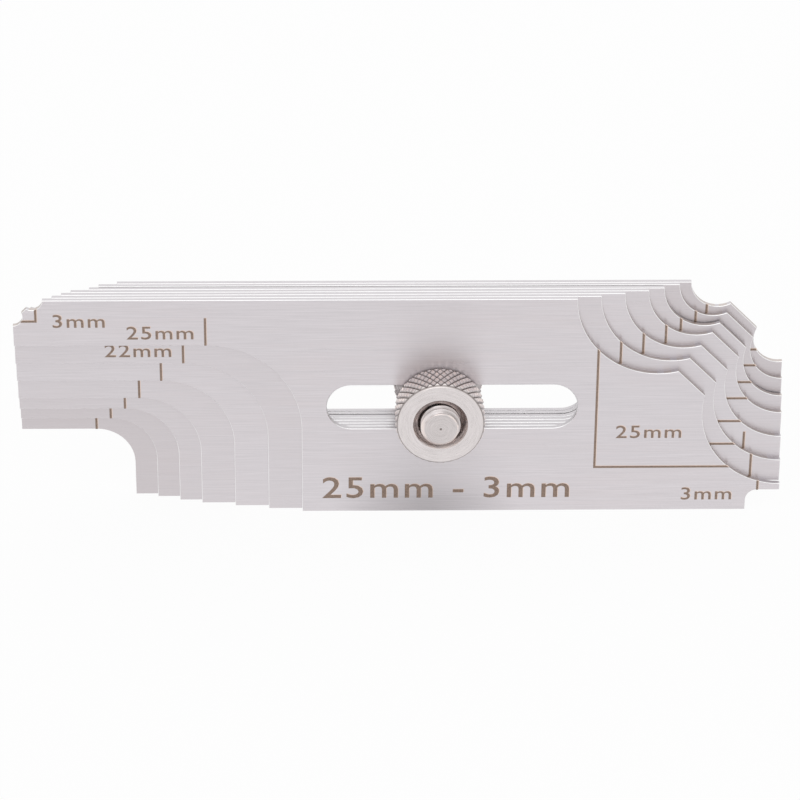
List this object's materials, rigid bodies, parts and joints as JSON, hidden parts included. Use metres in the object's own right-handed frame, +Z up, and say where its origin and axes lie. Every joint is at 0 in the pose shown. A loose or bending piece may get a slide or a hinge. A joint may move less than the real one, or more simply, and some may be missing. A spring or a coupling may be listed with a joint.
{
  "type": "fillet weld gauge set",
  "caption": "Pack of thin steel blades with leg cut-outs and throat noses for measuring fillet welds, clamped by a knurled thumb screw and nut through their slots.",
  "frame": {"origin": "bottom centre of the whole pack, on the surface that the blades' long edges stand on", "axes": "+X along the blades towards their large throat noses, -Y towards the front blade and the nut, +Z up across the blades"},
  "size_m": [0.1014, 0.016, 0.0316],
  "materials": {
    "blade_steel": "brushed lengthwise",
    "turned_steel": "turned and knurled"
  },
  "bodies": {
    "front_blade": {"blade_25mm": "blade_steel"},
    "thumb_screw": {"thumb_screw": "turned_steel"},
    "blade_22mm": {"blade_22mm": "blade_steel"},
    "blade_19mm": {"blade_19mm": "blade_steel"},
    "blade_16mm": {"blade_16mm": "blade_steel"},
    "blade_14mm": {"blade_14mm": "blade_steel"},
    "blade_12mm": {"blade_12mm": "blade_steel"},
    "blade_10mm": {"blade_10mm": "blade_steel"},
    "thumb_nut": {"thumb_nut": "turned_steel"}
  },
  "joints": [
    {"name": "screw_slide", "type": "slide", "parent": "front_blade", "child": "thumb_screw", "axis": [1, 0, 0], "range_m": [-0.0118, 0.0152]},
    {"name": "blade_22mm_swivel", "type": "hinge", "parent": "thumb_screw", "child": "blade_22mm", "pos_m": [0.00495, 0, 0.0158], "axis": [0, -1, 0], "continuous": true},
    {"name": "blade_19mm_swivel", "type": "hinge", "parent": "thumb_screw", "child": "blade_19mm", "pos_m": [0.00495, 0, 0.0158], "axis": [0, -1, 0], "continuous": true},
    {"name": "blade_16mm_swivel", "type": "hinge", "parent": "thumb_screw", "child": "blade_16mm", "pos_m": [0.00495, 0, 0.0158], "axis": [0, -1, 0], "continuous": true},
    {"name": "blade_14mm_swivel", "type": "hinge", "parent": "thumb_screw", "child": "blade_14mm", "pos_m": [0.00495, 0, 0.0158], "axis": [0, -1, 0], "continuous": true},
    {"name": "blade_12mm_swivel", "type": "hinge", "parent": "thumb_screw", "child": "blade_12mm", "pos_m": [0.00495, 0, 0.0158], "axis": [0, -1, 0], "continuous": true},
    {"name": "blade_10mm_swivel", "type": "hinge", "parent": "thumb_screw", "child": "blade_10mm", "pos_m": [0.00495, 0, 0.0158], "axis": [0, -1, 0], "continuous": true},
    {"name": "nut_turn", "type": "hinge", "parent": "thumb_screw", "child": "thumb_nut", "pos_m": [0.00495, 0, 0.0158], "axis": [0, -1, 0], "range_deg": [0, 360]}
  ]
}
